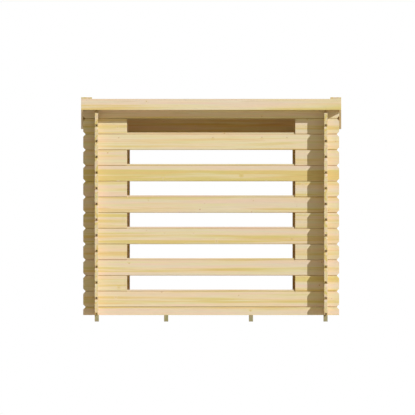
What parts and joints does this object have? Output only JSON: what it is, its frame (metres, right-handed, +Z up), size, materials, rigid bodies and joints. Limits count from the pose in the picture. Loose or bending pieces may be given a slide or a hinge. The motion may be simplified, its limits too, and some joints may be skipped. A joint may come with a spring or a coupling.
{
  "type": "log store",
  "caption": "Firewood store of notched tongue-and-groove logs with a slotted back wall, open front and single-pitch boarded roof.",
  "frame": {"origin": "on the ground, midway between the outer faces of the verge boards and midway between the outer faces of the fascias", "axes": "+X along the slotted back wall, +Y from the back wall to the open front, +Z up"},
  "size_m": [2.236, 1.056, 1.9287],
  "materials": {
    "spruce_log": "planed, untreated",
    "planed_spruce_board": "planed, untreated",
    "treated_pine": "pressure-treated, sawn",
    "roofing_felt": "mineral-surfaced bitumen felt"
  },
  "bodies": {
    "root": {"back_sill_log": "spruce_log", "back_rail_1": "spruce_log", "back_rail_2": "spruce_log", "back_rail_3": "spruce_log", "back_rail_4": "spruce_log", "back_rail_5": "spruce_log", "back_rail_6": "spruce_log", "back_top_log": "spruce_log", "back_stub_logs_left": "spruce_log", "back_stub_logs_right": "spruce_log", "front_sill_log": "spruce_log", "front_header_log": "spruce_log", "front_stub_logs_left_odd": "spruce_log", "front_stub_logs_left_even": "spruce_log", "front_stub_logs_right_odd": "spruce_log", "front_stub_logs_right_even": "spruce_log", "left_wall_logs_odd": "spruce_log", "left_wall_logs_even": "spruce_log", "left_gable_log": "spruce_log", "right_wall_logs_odd": "spruce_log", "right_wall_logs_even": "spruce_log", "right_gable_log": "spruce_log", "bearer_1": "treated_pine", "bearer_2": "treated_pine", "bearer_3": "treated_pine", "bearer_4": "treated_pine", "floor_boards": "planed_spruce_board", "roof_boards": "planed_spruce_board", "fascia_back": "planed_spruce_board", "fascia_front": "planed_spruce_board", "verge_board_left": "planed_spruce_board", "verge_board_right": "planed_spruce_board", "verge_capping_left": "planed_spruce_board", "verge_capping_right": "planed_spruce_board", "roof_felt": "roofing_felt"}
  },
  "joints": []
}
